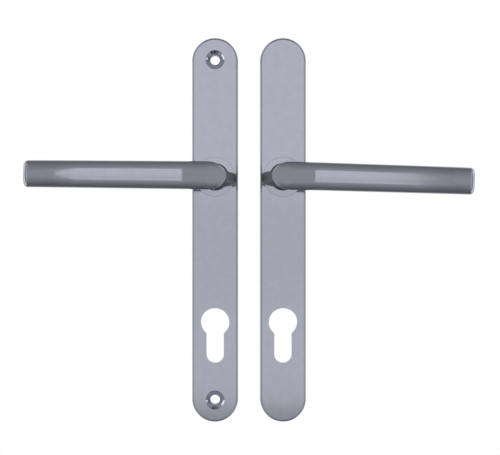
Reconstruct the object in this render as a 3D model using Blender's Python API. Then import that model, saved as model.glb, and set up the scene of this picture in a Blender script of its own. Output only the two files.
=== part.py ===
"""Pair of sprung lever door handles on long backplates with euro-profile cylinder openings.

The inside handle (screw holes, lever to -X) and the outside handle (blind face, threaded lugs,
spindle, lever to +X) stand side by side, as they are laid out for sale. The backs of both plates
lie in the plane Y = 0, which is the face of the door. Everything is first placed in a handle's own
frame: X across from its spindle axis, Z up the plate, and "out", the distance from the door towards
the user, which is -Y.
"""

import math

import bmesh
import bpy
from mathutils import Euler, Matrix, Vector

MM = 0.001

# Driving dimensions of the pair and its plates
HANDLE_SPACING = 43.0 * MM  # between the two spindle axes as laid out
FIXING_CENTRES = 215.0 * MM  # between the two fixing screws
SCREW_ABOVE_SPINDLE = 74.0 * MM
SPINDLE_TO_CYLINDER = 92.0 * MM  # the standard uPVC lock centres
PLATE_WIDTH = 29.4 * MM
PLATE_END_MARGIN = 14.0 * MM  # from a fixing screw to its end of the plate
PLATE_DEPTH = 11.0 * MM
PLATE_FACE_WALL = 2.0 * MM
PLATE_SIDE_WALL = 1.9 * MM
PLATE_DRAFT = 0.3 * MM
PLATE_EDGE_RADIUS = 1.3 * MM
RIB_THICKNESS = 1.4 * MM
RIB_SETBACK = 1.0 * MM  # the ribs stop this far short of the door
RIB_PITCH = 13.0 * MM
COLLAR_RADIUS = 12.5 * MM
COLLAR_RISE = 1.2 * MM
COLLAR_EDGE = 0.5 * MM
COLLAR_LIP = 1.2 * MM  # in front of the bearing bush

# Openings in the plates
CYLINDER_ROUND_RADIUS = 8.5 * MM  # the standard euro profile: 17 mm round, 10 mm wide, 33 mm high
CYLINDER_BODY_WIDTH = 10.0 * MM
CYLINDER_HEIGHT = 33.0 * MM
CYLINDER_SIDE_CLEARANCE = 0.55 * MM
CYLINDER_END_CLEARANCE = 1.5 * MM
CYLINDER_COLLAR_WALL = 1.5 * MM
SCREW_HOLE_RADIUS = 3.1 * MM
COUNTERSINK_RADIUS = 6.0 * MM
COUNTERSINK_DEPTH = 2.7 * MM
SCREW_BOSS_RADIUS = 6.0 * MM
LUG_RADIUS = 5.0 * MM
LUG_REACH = 9.0 * MM  # how far the outside plate's lugs reach into the door
LUG_TAPPING_RADIUS = 2.1 * MM  # for M5
LUG_BLIND_END = 2.5 * MM  # metal left between the tapped hole and the plate's front

# Spindle, hub and bearing
SPINDLE_SIDE = 8.0 * MM
SPINDLE_LENGTH = 112.0 * MM
SOCKET_CLEARANCE = 0.1 * MM
FIT_GAP = 0.3 * MM  # between pieces that meet or turn in each other
JOURNAL_RADIUS = 7.8 * MM
TAIL_RADIUS = 7.4 * MM
TAIL_FLAT = 6.5 * MM
TAIL_BEHIND_DOOR = 2.0 * MM
SOCKET_DEPTH = 22.0 * MM
BUSH_WALL = 1.2 * MM
BUSH_FLANGE_RADIUS = 11.2 * MM
BUSH_FLANGE_THICKNESS = 1.0 * MM

# Spring cassette behind each plate
COVER_THICKNESS = 0.8 * MM
COVER_RECESS = 0.2 * MM
COVER_MARGIN = 4.5 * MM  # beyond the cassette screws
COVER_STEP = 1.8 * MM  # its ends are stepped in, so that the screw heads stay clear of the door
CASSETTE_SCREW_OFFSET = 20.0 * MM
CASSETTE_SCREW_RADIUS = 1.3 * MM
CASSETTE_SCREW_HEAD_RADIUS = 2.7 * MM
CASSETTE_SCREW_HEAD = 1.5 * MM
CASSETTE_SCREW_CROWN = 0.5 * MM  # the head's sloping edge
CROSS_SLOT_REACH = 1.6 * MM
CROSS_SLOT_HALF_WIDTH = 0.32 * MM
CASSETTE_SCREW_END = 1.1 * MM  # metal left in front of the screw's tip
CASSETTE_BOSS_RADIUS = 3.2 * MM
DRIVER_THICKNESS = 1.2 * MM
DRIVER_SLEEVE_WALL = 1.0 * MM
DRIVER_KEY_HALF_HEIGHT = 2.4 * MM
DRIVER_LUG_HALF_ANGLE = math.radians(12)
HOUSING_WALL = 0.9 * MM
HOUSING_FLOOR = 0.8 * MM
HOUSING_WEB = 2.6 * MM
SPRING_WIRE_RADIUS = 0.45 * MM
SPRING_TURNS = 2.25
SPRING_START = math.radians(-60)  # from straight across, at its moving end
SPRING_LEG_BEND = 1.1 * MM
SPRING_STEPS_PER_TURN = 18
CLIP_THICKNESS = 0.8 * MM
CLIP_WIDTH = 2.6 * MM
CLIP_GROOVE_DEPTH = 0.7 * MM
CLIP_GAP_HALF_ANGLE = math.radians(32)

# Lever
LEVER_REACH = 117.2 * MM  # spindle axis to the tip
LEVER_NOSE = 7.5 * MM  # how far the grip's face runs past the spindle axis
LEVER_PROJECTION = 50.2 * MM  # door to the front of the grip
GRIP_HALF_HEIGHT = 8.75 * MM
GRIP_TIP_HALF_HEIGHT = 8.35 * MM
GRIP_THICKNESS = 10.0 * MM
GRIP_NOSE_THICKNESS = 6.0 * MM
GRIP_NOSE_LENGTH = 12.0 * MM
GRIP_TIP_RADIUS = 3.0 * MM
CROWN_DEPTH = 5.5 * MM  # from the front of the grip to the line of its greatest height
NOSE_CROWN_DEPTH = 2.2 * MM
ROUNDS_FROM = 84.0 * MM  # between these two the face gets rounder towards the tip
ROUNDS_TO = 98.0 * MM
NOSE_SQUARENESS = 4.5  # of a section: 2 is an ellipse, and more is squarer
BAR_SQUARENESS = 3.0
TIP_SQUARENESS = 2.3
BACK_SQUARENESS = 2.6
FACE_KNEE = 20.4 * MM  # where the face starts to fall back towards the nose
FACE_KNEE_SLOPE = math.tan(math.radians(9.5))
FACE_KNEE_BLEND = 1.3 * MM
FACE_FALL = 101.5 * MM  # where the face starts to fall back towards the tip
FACE_FALL_SLOPE = math.tan(math.radians(8.0))
FACE_FALL_BLEND = 1.5 * MM
GRUB_RADIUS = 2.0 * MM
GRUB_LENGTH = 3.0 * MM
GRUB_KEY_RADIUS = 1.15 * MM
INSIDE_REST_ANGLE = math.radians(0.55)  # about +Y: this lever rests a touch above level
OUTSIDE_REST_ANGLE = math.radians(1.75)  # about +Y: this lever hangs a touch below level
TURN_EACH_WAY = math.radians(45)

# Fineness
ARC_STEPS = 12
CIRCLE_STEPS = 24
FINE_CIRCLE_STEPS = 40
SMALL_CIRCLE_STEPS = 12
SEAM_TURN = math.radians(4)
GRIP_SECTION_STEPS = 24
NECK_SECTION_STEPS = 24
EDGE_STEPS = 4
HEXAGON_SIDES = 6
NOSE_RING_ANGLES = (9, 22, 37, 54, 72)  # degrees round the quarter ellipse of the nose
BAR_RING_SHARES = (0.0, 0.07, 0.13, 0.145, 0.16, 0.28, 0.45, 0.62, 0.73, 0.8, 0.862, 0.884, 0.906, 1.0)
MERGE = 1e-7

# Worked out from the above
PLATE_TOP = SCREW_ABOVE_SPINDLE + PLATE_END_MARGIN
PLATE_BOTTOM = SCREW_ABOVE_SPINDLE - FIXING_CENTRES - PLATE_END_MARGIN
SCREW_HEIGHTS = (SCREW_ABOVE_SPINDLE, SCREW_ABOVE_SPINDLE - FIXING_CENTRES)
FACE_BACK = PLATE_DEPTH - PLATE_FACE_WALL
CAVITY_HALF_WIDTH = PLATE_WIDTH / 2 - PLATE_SIDE_WALL - PLATE_DRAFT
COLLAR_TOP = PLATE_DEPTH + COLLAR_RISE
BUSH_INNER = JOURNAL_RADIUS + FIT_GAP
BUSH_OUTER = BUSH_INNER + BUSH_WALL
BORE_RADIUS = BUSH_OUTER + FIT_GAP
LIP_BACK = COLLAR_TOP - COLLAR_LIP
LIP_RADIUS = JOURNAL_RADIUS + 1.5 * FIT_GAP
BUSH_FLANGE_FRONT = FACE_BACK - FIT_GAP
BUSH_FLANGE_BACK = BUSH_FLANGE_FRONT - BUSH_FLANGE_THICKNESS
COVER_FRONT = COVER_RECESS + COVER_THICKNESS
COVER_HALF_WIDTH = CAVITY_HALF_WIDTH - FIT_GAP
COVER_END_BACK = COVER_RECESS + COVER_STEP
COVER_END_FRONT = COVER_END_BACK + COVER_THICKNESS
DRIVER_BACK = COVER_FRONT + FIT_GAP
DRIVER_FRONT = DRIVER_BACK + DRIVER_THICKNESS
DRIVER_SLEEVE_RADIUS = TAIL_RADIUS + FIT_GAP + DRIVER_SLEEVE_WALL
HOUSING_FRONT = BUSH_FLANGE_BACK - FIT_GAP
HOUSING_FLOOR_BACK = HOUSING_FRONT - HOUSING_FLOOR
SPRING_RADIUS = DRIVER_SLEEVE_RADIUS + FIT_GAP + 2 * SPRING_WIRE_RADIUS
HOUSING_INNER = SPRING_RADIUS + SPRING_WIRE_RADIUS + 2 * FIT_GAP
HOUSING_OUTER = HOUSING_INNER + HOUSING_WALL
SPRING_BACK = DRIVER_FRONT + FIT_GAP + SPRING_WIRE_RADIUS
SPRING_FRONT = HOUSING_FLOOR_BACK - FIT_GAP - SPRING_WIRE_RADIUS
SPRING_END = SPRING_START + math.tau * SPRING_TURNS
LEG_HOLE_RADIUS = SPRING_WIRE_RADIUS + FIT_GAP
NECK_BASE = COLLAR_TOP + FIT_GAP
GRUB_OUT = NECK_BASE + GRUB_RADIUS + 3 * FIT_GAP
SOCKET_HALF = SPINDLE_SIDE / 2 + SOCKET_CLEARANCE
CLIP_FRONT = COVER_RECESS - FIT_GAP
CLIP_BACK = CLIP_FRONT - CLIP_THICKNESS
CLIP_INNER = TAIL_RADIUS - CLIP_GROOVE_DEPTH + FIT_GAP
APERTURE_ROUND = CYLINDER_ROUND_RADIUS + CYLINDER_SIDE_CLEARANCE
APERTURE_HALF_WIDTH = CYLINDER_BODY_WIDTH / 2 + CYLINDER_SIDE_CLEARANCE
APERTURE_DROP = CYLINDER_HEIGHT - CYLINDER_ROUND_RADIUS + CYLINDER_END_CLEARANCE

FINISHES = {  # base colour, metallic, roughness
    "polished_plate": ((0.40, 0.42, 0.49), 1.0, 0.25),
    "polished_lever": ((0.30, 0.31, 0.36), 1.0, 0.25),
    "white_nylon": ((0.75, 0.74, 0.70), 0.0, 0.5),
    "black_nylon": ((0.03, 0.03, 0.03), 0.0, 0.5),
    "spring_steel": ((0.35, 0.35, 0.36), 1.0, 0.35),
    "zinc_plated_steel": ((0.55, 0.55, 0.52), 1.0, 0.4),
    "bright_steel": ((0.60, 0.60, 0.58), 1.0, 0.3),
    "die_cast_zinc": ((0.45, 0.46, 0.47), 1.0, 0.5),
}


# ---------------------------------------------------------------- tools


def clear_scene():
    for obj in list(bpy.data.objects):
        bpy.data.objects.remove(obj, do_unlink=True)


def finish(name):
    """The Principled material of a finish, made once."""
    material = bpy.data.materials.get(name)
    if material is None:
        colour, metallic, roughness = FINISHES[name]
        material = bpy.data.materials.new(name)
        material.use_nodes = True
        shader = material.node_tree.nodes["Principled BSDF"]
        shader.inputs["Base Color"].default_value = (*colour, 1)
        shader.inputs["Metallic"].default_value = metallic
        shader.inputs["Roughness"].default_value = roughness
    return material


def place(name, bm, finish_name, handle, parent=None, at=(0, 0)):
    """Makes the bmesh an object at (across, up) in the handle's frame, or in its parent's."""
    bmesh.ops.remove_doubles(bm, verts=bm.verts, dist=MERGE)
    bmesh.ops.recalc_face_normals(bm, faces=bm.faces)
    mesh = bpy.data.meshes.new(name)
    bm.to_mesh(mesh)
    bm.free()
    mesh.materials.append(finish(finish_name))
    mesh.shade_smooth()
    mesh.set_sharp_from_angle(angle=math.radians(30))
    obj = bpy.data.objects.new(name, mesh)
    bpy.context.scene.collection.objects.link(obj)
    obj.parent = parent
    obj.location = (at[0] + (0 if parent else handle["x"]), 0, at[1])
    return obj


def helper(name, bm, handle, parent=None, at=(0, 0)):
    """A cutter or a shape to be joined: it shapes its neighbours and isn't itself a piece."""
    obj = place(name, bm, "die_cast_zinc", handle, parent, at)
    obj.hide_render = True
    obj.display_type = "WIRE"
    return obj


def combine(obj, operation, *others):
    for other in others:
        modifier = obj.modifiers.new(f"{operation.lower()}_{other.name}", "BOOLEAN")
        modifier.operation = operation
        modifier.object = other
        modifier.solver = "EXACT"


def loft(rings):
    """One closed skin through rings of equally many points, capped at both ends."""
    bm = bmesh.new()
    loops = [[bm.verts.new(point) for point in ring] for ring in rings]
    for near, far in zip(loops, loops[1:]):
        for i in range(len(near)):
            bm.faces.new((near[i - 1], near[i], far[i], far[i - 1]))
    bm.faces.new(loops[0])
    bm.faces.new(loops[-1])
    return bm


def turned(profile, steps=CIRCLE_STEPS, start=0.0):
    """A body turned about the spindle direction from (radius, out) points.

    A profile that stays clear of the axis is closed, and makes a ring."""
    bm = bmesh.new()
    verts = [bm.verts.new((radius, -out, 0)) for radius, out in profile]
    edges = [bm.edges.new(pair) for pair in zip(verts, verts[1:])]
    if min(radius for radius, _ in profile) > 0:
        edges.append(bm.edges.new((verts[-1], verts[0])))
    bmesh.ops.spin(
        bm,
        geom=verts + edges,
        cent=(0, 0, 0),
        axis=(0, 1, 0),
        angle=math.tau,
        steps=steps,
        use_merge=True,
    )
    bmesh.ops.rotate(bm, matrix=Matrix.Rotation(start, 3, "Y"), verts=bm.verts)
    return bm


def rod(radius, back, front, steps=CIRCLE_STEPS):
    return turned([(0, back), (radius, back), (radius, front), (0, front)], steps)


def drill(radius, back, front, steps=CIRCLE_STEPS):
    """A round cutter, turned so that its corners miss the seams of the round bodies it cuts."""
    return turned([(0, back), (radius, back), (radius, front), (0, front)], steps, SEAM_TURN)


def prism(outline, back, front):
    """An outline of (across, up) points, from one distance out to another."""
    return loft([[(x, -out, z) for x, z in outline] for out in (back, front)])


def box(x, out, z):
    """A block between the given pairs of limits."""
    corners = [(x[0], z[0]), (x[1], z[0]), (x[1], z[1]), (x[0], z[1])]
    return prism(corners, *out)


def arc(centre, radius, start, end, steps):
    """Points of an arc in the plane of the plate."""
    angles = [start + (end - start) * i / steps for i in range(steps + 1)]
    return [
        (centre[0] + radius * math.cos(a), centre[1] + radius * math.sin(a))
        for a in angles
    ]


def blend(a, b, share):
    return a + (b - a) * share


def ramp(distance, width):
    """0 well before a knee and rising one for one after it, rounded over the width."""
    return (distance + math.hypot(distance, width)) / 2


# ---------------------------------------------------------------- backplates


def plate_outline(inset):
    """The plate's long outline with round ends, taken in by the inset."""
    radius = PLATE_WIDTH / 2 - inset
    top = PLATE_TOP - PLATE_WIDTH / 2
    bottom = PLATE_BOTTOM + PLATE_WIDTH / 2
    return arc((0, top), radius, 0, math.pi, ARC_STEPS) + arc(
        (0, bottom), radius, math.pi, math.tau, ARC_STEPS
    )


def plate_shell():
    """The hollow tray: drafted sides, a rounded front edge, and a cavity open to the door."""
    edge = [math.pi / 2 * i / EDGE_STEPS for i in range(EDGE_STEPS + 1)]
    r = PLATE_EDGE_RADIUS
    profile = [(PLATE_SIDE_WALL + PLATE_DRAFT, FACE_BACK), (PLATE_SIDE_WALL, 0), (0, 0)]
    profile += [
        (PLATE_DRAFT + r * (1 - math.cos(a)), PLATE_DEPTH - r * (1 - math.sin(a)))
        for a in edge
    ]
    return loft([[(x, -out, z) for x, z in plate_outline(inset)] for inset, out in profile])


def cylinder_outline(grow=0.0):
    """The euro profile opening about its round part's centre, grown by a wall."""
    big = APERTURE_ROUND + grow
    half = APERTURE_HALF_WIDTH + grow
    foot = half - APERTURE_DROP - grow
    meet = math.asin(-math.sqrt(big**2 - half**2) / big)
    centre = -SPINDLE_TO_CYLINDER
    return arc((0, centre), big, meet, math.pi - meet, 2 * ARC_STEPS) + arc(
        (0, centre + foot), half, math.pi, math.tau, ARC_STEPS
    )


def rib_heights():
    """Cross ribs, evenly spaced in each stretch of cavity that holds nothing else."""
    cassette = CASSETTE_SCREW_OFFSET + COVER_MARGIN + FIT_GAP
    aperture_top = -SPINDLE_TO_CYLINDER + APERTURE_ROUND + CYLINDER_COLLAR_WALL
    aperture_foot = -SPINDLE_TO_CYLINDER - APERTURE_DROP - CYLINDER_COLLAR_WALL
    stretches = (
        (cassette, SCREW_HEIGHTS[0] - SCREW_BOSS_RADIUS),
        (aperture_top, -cassette),
        (SCREW_HEIGHTS[1] + SCREW_BOSS_RADIUS, aperture_foot),
    )
    heights = []
    for low, high in stretches:
        bays = max(1, round((high - low) / RIB_PITCH))
        heights += [blend(low, high, i / bays) for i in range(1, bays)]
    return heights


def plate_body(handle):
    """What both plates share: tray, ribs, collar, bearing bore, cassette bosses and cylinder opening."""
    name = handle["name"]
    plate = place(f"{name}_backplate", plate_shell(), "polished_plate", handle)
    into_face = FACE_BACK + PLATE_FACE_WALL / 2
    rib_reach = CAVITY_HALF_WIDTH + PLATE_SIDE_WALL / 2
    ribs = [
        box(
            (-rib_reach, rib_reach),
            (RIB_SETBACK, into_face),
            (z - RIB_THICKNESS / 2, z + RIB_THICKNESS / 2),
        )
        for z in rib_heights()
    ]
    collar = turned(
        [
            (0, into_face),
            (COLLAR_RADIUS, into_face),
            (COLLAR_RADIUS, COLLAR_TOP - COLLAR_EDGE),
            (COLLAR_RADIUS - COLLAR_EDGE, COLLAR_TOP),
            (0, COLLAR_TOP),
        ],
        FINE_CIRCLE_STEPS,
    )
    cylinder_wall = prism(cylinder_outline(CYLINDER_COLLAR_WALL), RIB_SETBACK, into_face)
    joined = [helper(f"{name}_rib_{i}", rib, handle) for i, rib in enumerate(ribs)]
    joined.append(helper(f"{name}_collar", collar, handle))
    joined.append(helper(f"{name}_cylinder_wall", cylinder_wall, handle))
    for z in (CASSETTE_SCREW_OFFSET, -CASSETTE_SCREW_OFFSET):
        boss = rod(CASSETTE_BOSS_RADIUS, BUSH_FLANGE_BACK, into_face, SMALL_CIRCLE_STEPS)
        joined.append(helper(f"{name}_cassette_boss", boss, handle, at=(0, z)))
    combine(plate, "UNION", *joined)
    bore = turned(
        [
            (0, 0),
            (BORE_RADIUS, 0),
            (BORE_RADIUS, LIP_BACK),
            (LIP_RADIUS, LIP_BACK),
            (LIP_RADIUS, COLLAR_TOP + FIT_GAP),
            (0, COLLAR_TOP + FIT_GAP),
        ],
        start=SEAM_TURN,
    )
    opening = prism(cylinder_outline(), -PLATE_DEPTH, 2 * PLATE_DEPTH)
    cuts = [
        helper(f"{name}_bore", bore, handle),
        helper(f"{name}_cylinder_opening", opening, handle),
    ]
    for z in (CASSETTE_SCREW_OFFSET, -CASSETTE_SCREW_OFFSET):
        end = PLATE_DEPTH - CASSETTE_SCREW_END
        pilot = drill(CASSETTE_SCREW_RADIUS + FIT_GAP, 0, end, SMALL_CIRCLE_STEPS)
        cuts.append(helper(f"{name}_pilot_hole", pilot, handle, at=(0, z)))
    combine(plate, "DIFFERENCE", *cuts)
    return plate


def inside_plate(handle):
    """The fixing screws go through it, so it has countersunk holes in bosses that stand on the door."""
    plate = plate_body(handle)
    into_face = FACE_BACK + PLATE_FACE_WALL / 2
    widening = (COUNTERSINK_RADIUS - SCREW_HOLE_RADIUS) / COUNTERSINK_DEPTH
    bosses, holes = [], []
    for z in SCREW_HEIGHTS:
        boss = rod(SCREW_BOSS_RADIUS, 0, into_face)
        hole = turned(
            [
                (0, -PLATE_DEPTH),
                (SCREW_HOLE_RADIUS, -PLATE_DEPTH),
                (SCREW_HOLE_RADIUS, PLATE_DEPTH - COUNTERSINK_DEPTH),
                (COUNTERSINK_RADIUS + widening * FIT_GAP, PLATE_DEPTH + FIT_GAP),
                (0, PLATE_DEPTH + FIT_GAP),
            ],
            start=SEAM_TURN,
        )
        bosses.append(helper("screw_boss", boss, handle, at=(0, z)))
        holes.append(helper("screw_hole", hole, handle, at=(0, z)))
    combine(plate, "UNION", *bosses)
    combine(plate, "DIFFERENCE", *holes)
    return plate


def outside_plate(handle):
    """Its face is blind: the fixing screws come through the door into tapped lugs on its back."""
    plate = plate_body(handle)
    into_face = FACE_BACK + PLATE_FACE_WALL / 2
    lugs, holes = [], []
    for z in SCREW_HEIGHTS:
        lug = rod(LUG_RADIUS, -LUG_REACH, into_face)
        end = PLATE_DEPTH - LUG_BLIND_END
        hole = drill(LUG_TAPPING_RADIUS, -2 * LUG_REACH, end, SMALL_CIRCLE_STEPS)
        lugs.append(helper("lug", lug, handle, at=(0, z)))
        holes.append(helper("tapped_hole", hole, handle, at=(0, z)))
    combine(plate, "UNION", *lugs)
    combine(plate, "DIFFERENCE", *holes)
    return plate


# ---------------------------------------------------------------- levers


def face_out(x):
    """How far the front of the grip stands from the door, at a distance from the spindle axis."""
    return (
        LEVER_PROJECTION
        - FACE_KNEE_SLOPE * ramp(FACE_KNEE - x, FACE_KNEE_BLEND)
        - FACE_FALL_SLOPE * ramp(x - FACE_FALL, FACE_FALL_BLEND)
    )


def rounded(angle, half_width, half_height, squareness):
    """A point of a superellipse."""
    c, s = math.cos(angle), math.sin(angle)
    return (
        math.copysign(abs(c) ** (2 / squareness), c) * half_width,
        math.copysign(abs(s) ** (2 / squareness), s) * half_height,
    )


def grip_section(x, half_height, inset=0.0):
    """One ring of the grip: a crowned face that rounds off towards the tip, and a fuller back."""
    to_bar = share_between(x, -LEVER_NOSE, GRIP_NOSE_LENGTH - LEVER_NOSE)
    thickness = blend(GRIP_NOSE_THICKNESS, GRIP_THICKNESS, to_bar)
    crown = blend(NOSE_CROWN_DEPTH, CROWN_DEPTH, to_bar)
    squareness = blend(NOSE_SQUARENESS, BAR_SQUARENESS, to_bar)
    squareness = blend(squareness, TIP_SQUARENESS, share_between(x, ROUNDS_FROM, ROUNDS_TO))
    middle = face_out(x) - crown
    ring = []
    for k in range(GRIP_SECTION_STEPS):
        angle = math.tau * k / GRIP_SECTION_STEPS
        if angle < math.pi:
            z, out = rounded(angle, half_height, crown - inset, squareness)
        else:
            z, out = rounded(angle, half_height, thickness - crown - inset, BACK_SQUARENESS)
        ring.append((x, -(middle + out), z))
    return ring


def share_between(x, start, end):
    return min(1.0, max(0.0, (x - start) / (end - start)))


def grip_rings():
    """Sections from the elliptical nose, along the bar, to the rounded tip."""
    length = LEVER_REACH - GRIP_TIP_RADIUS
    rings = []
    for degrees in NOSE_RING_ANGLES:
        a = math.radians(degrees)
        x = -LEVER_NOSE + GRIP_NOSE_LENGTH * (1 - math.cos(a))
        rings.append(grip_section(x, GRIP_HALF_HEIGHT * math.sin(a)))
    start = GRIP_NOSE_LENGTH - LEVER_NOSE
    for share in BAR_RING_SHARES:
        half_height = blend(GRIP_HALF_HEIGHT, GRIP_TIP_HALF_HEIGHT, share)
        rings.append(grip_section(blend(start, length, share), half_height))
    for i in range(1, EDGE_STEPS + 1):
        a = math.pi / 2 * i / EDGE_STEPS
        inset = GRIP_TIP_RADIUS * (1 - math.cos(a))
        x = length + GRIP_TIP_RADIUS * math.sin(a)
        rings.append(grip_section(x, GRIP_TIP_HALF_HEIGHT - inset, inset))
    return rings


# Across, out, up, half width in the plane of the bend, half height: the neck rises from the
# collar, swings out past the nose, a little below it, and sweeps into the back of the grip.
NECK_STATIONS = [
    (0.0, NECK_BASE / MM, 0.0, 8.7, 8.7),
    (-0.2, 16.0, -0.3, 8.0, 7.4),
    (-1.2, 20.0, -0.9, 7.6, 6.2),
    (-3.2, 25.0, -1.5, 8.2, 5.1),
    (-5.2, 30.0, -1.8, 8.6, 4.4),
    (-5.6, 34.5, -1.8, 8.3, 4.2),
    (-4.2, 38.0, -1.6, 7.3, 4.2),
    (-0.8, 40.6, -1.2, 6.0, 4.3),
    (4.5, 42.2, -0.7, 4.9, 4.8),
    (11.0, 43.2, -0.3, 4.2, 5.4),
    (20.0, 44.0, 0.0, 3.4, 5.6),
]
NECK_SQUARENESS = (2.0, 3.8)  # at its round foot, and from NECK_SQUARE_FROM on
NECK_SQUARE_FROM = 4


def neck_rings():
    """Rounded sections square to the neck's centre line."""
    rings = []
    points = [Vector((x, out)) for x, out, _, _, _ in NECK_STATIONS]
    for i, (x, out, up, half_width, half_height) in enumerate(NECK_STATIONS):
        before, after = points[max(0, i - 1)], points[min(len(points) - 1, i + 1)]
        along = (after - before).normalized() if i else Vector((0, 1))
        squareness = blend(*NECK_SQUARENESS, min(1.0, i / NECK_SQUARE_FROM))
        ring = []
        for k in range(NECK_SECTION_STEPS):
            angle = math.tau * k / NECK_SECTION_STEPS
            side, z = rounded(angle, half_width, half_height, squareness)
            ring.append(Vector((x - along.y * side, -(out + along.x * side), up + z)) * MM)
        rings.append(ring)
    return rings


def mirrored(rings, side):
    return [[(side * p[0], p[1], p[2]) for p in ring] for ring in rings]


def lever(handle):
    """Grip, neck and hub cast in one, with a square socket for the spindle."""
    name, pivot, side = handle["name"], handle["pivot"], handle["side"]
    body = place(
        f"{name}_lever", loft(mirrored(grip_rings(), side)), "polished_lever", handle, pivot
    )
    groove = TAIL_RADIUS - CLIP_GROOVE_DEPTH
    hub = turned(
        [
            (0, -TAIL_BEHIND_DOOR),
            (TAIL_RADIUS, -TAIL_BEHIND_DOOR),
            (TAIL_RADIUS, CLIP_BACK - FIT_GAP),
            (groove, CLIP_BACK - FIT_GAP),
            (groove, CLIP_FRONT + FIT_GAP),
            (TAIL_RADIUS, CLIP_FRONT + FIT_GAP),
            (TAIL_RADIUS, BUSH_FLANGE_BACK),
            (JOURNAL_RADIUS, BUSH_FLANGE_BACK),
            (JOURNAL_RADIUS, NECK_BASE + FIT_GAP),
            (0, NECK_BASE + FIT_GAP),
        ]
    )
    neck = loft(mirrored(neck_rings(), side))
    combine(
        body,
        "UNION",
        helper(f"{name}_neck", neck, handle, pivot),
        helper(f"{name}_hub", hub, handle, pivot),
    )
    socket_end = SOCKET_DEPTH - TAIL_BEHIND_DOOR
    socket = box(
        (-SOCKET_HALF, SOCKET_HALF),
        (-2 * TAIL_BEHIND_DOOR, socket_end),
        (-SOCKET_HALF, SOCKET_HALF),
    )
    cuts = [helper(f"{name}_socket", socket, handle, pivot)]
    for sign in (1, -1):
        flat = box(
            sorted((sign * TAIL_FLAT, sign * 2 * TAIL_RADIUS)),
            (-2 * TAIL_BEHIND_DOOR, DRIVER_FRONT + FIT_GAP),
            (-TAIL_RADIUS, TAIL_RADIUS),
        )
        cuts.append(helper(f"{name}_tail_flat", flat, handle, pivot))
    combine(body, "DIFFERENCE", *cuts)
    return body


def grub_screw(handle, body):
    """The socket-head grub screw under the inside lever's neck that clamps the spindle."""
    pivot = handle["pivot"]
    upright = Matrix.Rotation(math.pi / 2, 4, "X")

    def stand(bm):
        """Turns a rod from the spindle's direction to upright, below the socket."""
        bmesh.ops.transform(bm, matrix=upright, verts=bm.verts)
        bmesh.ops.translate(bm, vec=(0, -GRUB_OUT, -SOCKET_HALF), verts=bm.verts)
        return bm

    hole = stand(drill(GRUB_RADIUS + FIT_GAP, -FIT_GAP, 3 * GRUB_LENGTH, SMALL_CIRCLE_STEPS))
    combine(body, "DIFFERENCE", helper("grub_hole", hole, handle, pivot))
    key = stand(rod(GRUB_KEY_RADIUS, GRUB_LENGTH / 2, 2 * GRUB_LENGTH, HEXAGON_SIDES))
    screw = place(
        f"{handle['name']}_grub_screw",
        stand(rod(GRUB_RADIUS, FIT_GAP, GRUB_LENGTH, SMALL_CIRCLE_STEPS)),
        "bright_steel",
        handle,
        pivot,
    )
    combine(screw, "DIFFERENCE", helper("grub_key", key, handle, pivot))
    return screw


def spindle(handle):
    """The square bar that turns the lock. It stays in the outside lever."""
    half = SPINDLE_SIDE / 2
    chamfer = SPINDLE_SIDE / 10
    front = SOCKET_DEPTH - TAIL_BEHIND_DOOR - FIT_GAP
    back = front - SPINDLE_LENGTH
    outline = [
        (sx * (half - dx), sz * (half - dz))
        for sx, sz, dx, dz in (
            (1, 1, 0, chamfer),
            (1, 1, chamfer, 0),
            (-1, 1, chamfer, 0),
            (-1, 1, 0, chamfer),
            (-1, -1, 0, chamfer),
            (-1, -1, chamfer, 0),
            (1, -1, chamfer, 0),
            (1, -1, 0, chamfer),
        )
    ]
    tapered = [(x * (1 - 2 * chamfer / half), z * (1 - 2 * chamfer / half)) for x, z in outline]
    bm = loft(
        [
            [(x, -back, z) for x, z in tapered],
            [(x, -back - chamfer, z) for x, z in outline],
            [(x, -front, z) for x, z in outline],
        ]
    )
    return place(f"{handle['name']}_spindle", bm, "zinc_plated_steel", handle, handle["pivot"])


# ---------------------------------------------------------------- bearing and spring cassette


def bearing_bush(handle):
    """Flanged nylon bush between the plate's bore and the lever's journal."""
    bm = turned(
        [
            (BUSH_INNER, BUSH_FLANGE_BACK),
            (BUSH_FLANGE_RADIUS, BUSH_FLANGE_BACK),
            (BUSH_FLANGE_RADIUS, BUSH_FLANGE_FRONT),
            (BUSH_OUTER, BUSH_FLANGE_FRONT),
            (BUSH_OUTER, LIP_BACK - FIT_GAP),
            (BUSH_INNER, LIP_BACK - FIT_GAP),
        ]
    )
    return place(f"{handle['name']}_bearing_bush", bm, "black_nylon", handle)


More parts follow.
